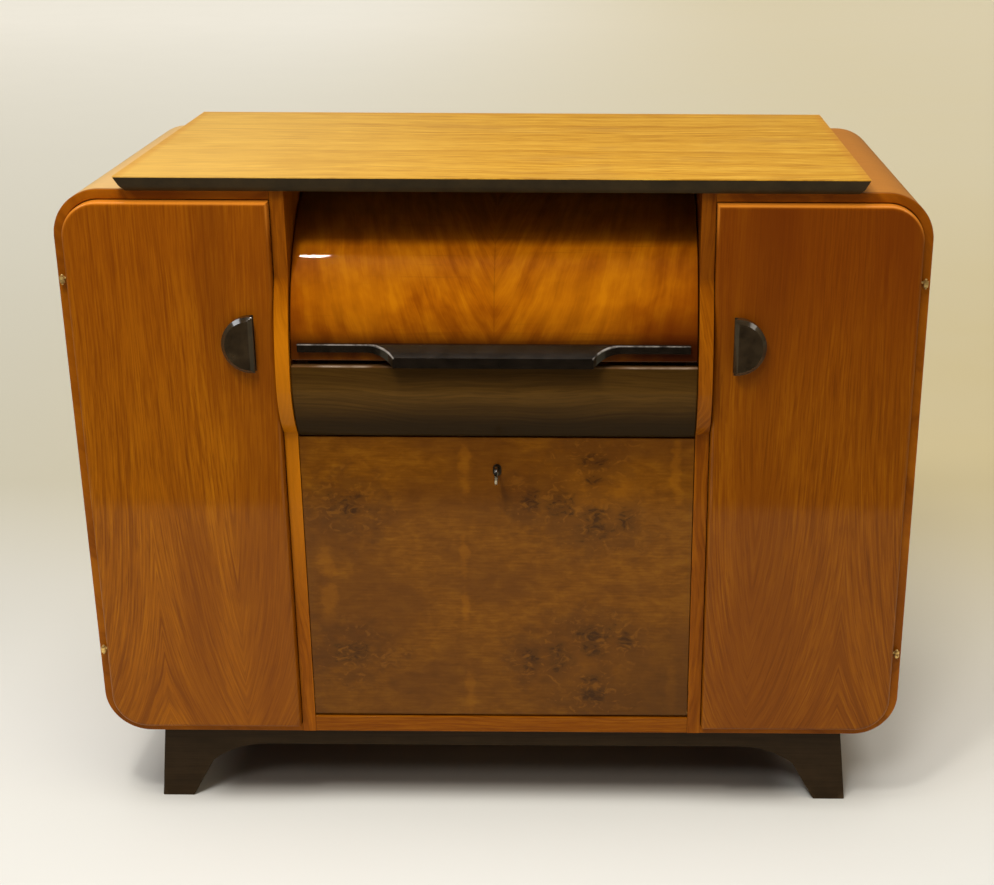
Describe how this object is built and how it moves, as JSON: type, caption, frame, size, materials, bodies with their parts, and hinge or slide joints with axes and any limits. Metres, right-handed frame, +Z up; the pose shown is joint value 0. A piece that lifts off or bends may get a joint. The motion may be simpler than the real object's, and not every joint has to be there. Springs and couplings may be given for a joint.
{
  "type": "record cabinet",
  "caption": "Low walnut record cabinet with round-cornered side cupboards, a cylinder lid over a turntable bay, a locking fall flap below it and a scooped black plinth.",
  "frame": {"origin": "on the floor, at the middle of the width and midway between the lid handle's front and the rear edge", "axes": "+X to the right as seen from the front, +Y from the front to the back, +Z up"},
  "size_m": [1.1, 0.526, 0.902],
  "materials": {
    "shell_walnut": "polished walnut veneer",
    "door_walnut": "polished straight-grained walnut veneer",
    "top_walnut": "polished golden walnut veneer",
    "lid_walnut": "polished bookmatched walnut veneer",
    "flap_walnut": "polished knotty walnut veneer",
    "apron_stain": "polished dark brown stain",
    "black_lacquer": "gloss black lacquer",
    "black_stain": "satin black stain",
    "birch_ply": "bare plywood",
    "beech": "bare beech",
    "brass": "worn brass",
    "steel": "plain steel",
    "dark_iron": "blackened iron"
  },
  "bodies": {
    "cabinet": {"right_shell": "shell_walnut", "left_shell": "shell_walnut", "right_partition": "shell_walnut", "left_partition": "shell_walnut", "right_back": "birch_ply", "left_back": "birch_ply", "right_shelf": "beech", "left_shelf": "beech", "right_catch_strike": "brass", "left_catch_strike": "brass", "shelf_pins": "brass", "middle_back": "birch_ply", "bay_floor": "beech", "bottom_rail": "shell_walnut", "deck": "beech", "apron": "apron_stain", "record_divider_1": "birch_ply", "record_divider_2": "birch_ply", "record_divider_3": "birch_ply", "hinge_shell_arms": "brass", "hinge_pins": "brass", "lid_bushes": "brass", "lid_stops": "beech", "flap_pivot_plates": "brass", "lock_strike": "brass", "top_plate": "top_walnut", "front_edging": "black_lacquer", "right_edging": "black_lacquer", "left_edging": "black_lacquer", "top_screws": "steel", "plinth_front": "black_stain", "plinth_rear": "black_stain", "right_plinth_side": "black_stain", "left_plinth_side": "black_stain", "plinth_blocks": "beech", "plinth_screws": "steel"},
    "left_door_leaf": {"left_door": "door_walnut", "left_pull": "black_lacquer", "left_pull_screws": "steel", "left_hinge_door_arms": "brass", "left_door_catch": "brass"},
    "right_door_leaf": {"right_door": "door_walnut", "right_pull": "black_lacquer", "right_pull_screws": "steel", "right_hinge_door_arms": "brass", "right_door_catch": "brass"},
    "lid": {"lid_panel": "lid_walnut", "right_lid_end": "beech", "left_lid_end": "beech", "lid_pivots": "steel", "lid_handle": "black_lacquer", "handle_screws": "steel"},
    "flap": {"flap_panel": "flap_walnut", "flap_leaves": "brass", "lock_case": "dark_iron", "lock_screws": "steel", "escutcheon": "dark_iron"},
    "lock_key": {"key": "steel"},
    "bolt": {"lock_bolt": "brass"}
  },
  "joints": [
    {"name": "left_door_hinge", "type": "hinge", "parent": "cabinet", "child": "left_door_leaf", "pos_m": [-0.543, -0.223, 0.5], "axis": [0, 0, -1], "range_deg": [0, 110]},
    {"name": "right_door_hinge", "type": "hinge", "parent": "cabinet", "child": "right_door_leaf", "pos_m": [0.543, -0.223, 0.5], "axis": [0, 0, 1], "range_deg": [0, 110]},
    {"name": "lid_roll", "type": "hinge", "parent": "cabinet", "child": "lid", "pos_m": [0, -0.032, 0.658], "axis": [-1, 0, 0], "range_deg": [0, 60]},
    {"name": "flap_fall", "type": "hinge", "parent": "cabinet", "child": "flap", "pos_m": [0, -0.211, 0.149], "axis": [1, 0, 0], "range_deg": [0, 90]},
    {"name": "key_turn", "type": "hinge", "parent": "flap", "child": "lock_key", "pos_m": [0, -0.217, 0.51196], "axis": [0, 1, 0], "range_deg": [0, 90]},
    {"name": "bolt_slide", "type": "slide", "parent": "flap", "child": "bolt", "axis": [0, 0, 1], "range_m": [0, 0.009]}
  ],
  "couplings": [
    {"joint": "key_turn", "follows": "bolt_slide", "rad_per_m": 174.5}
  ]
}
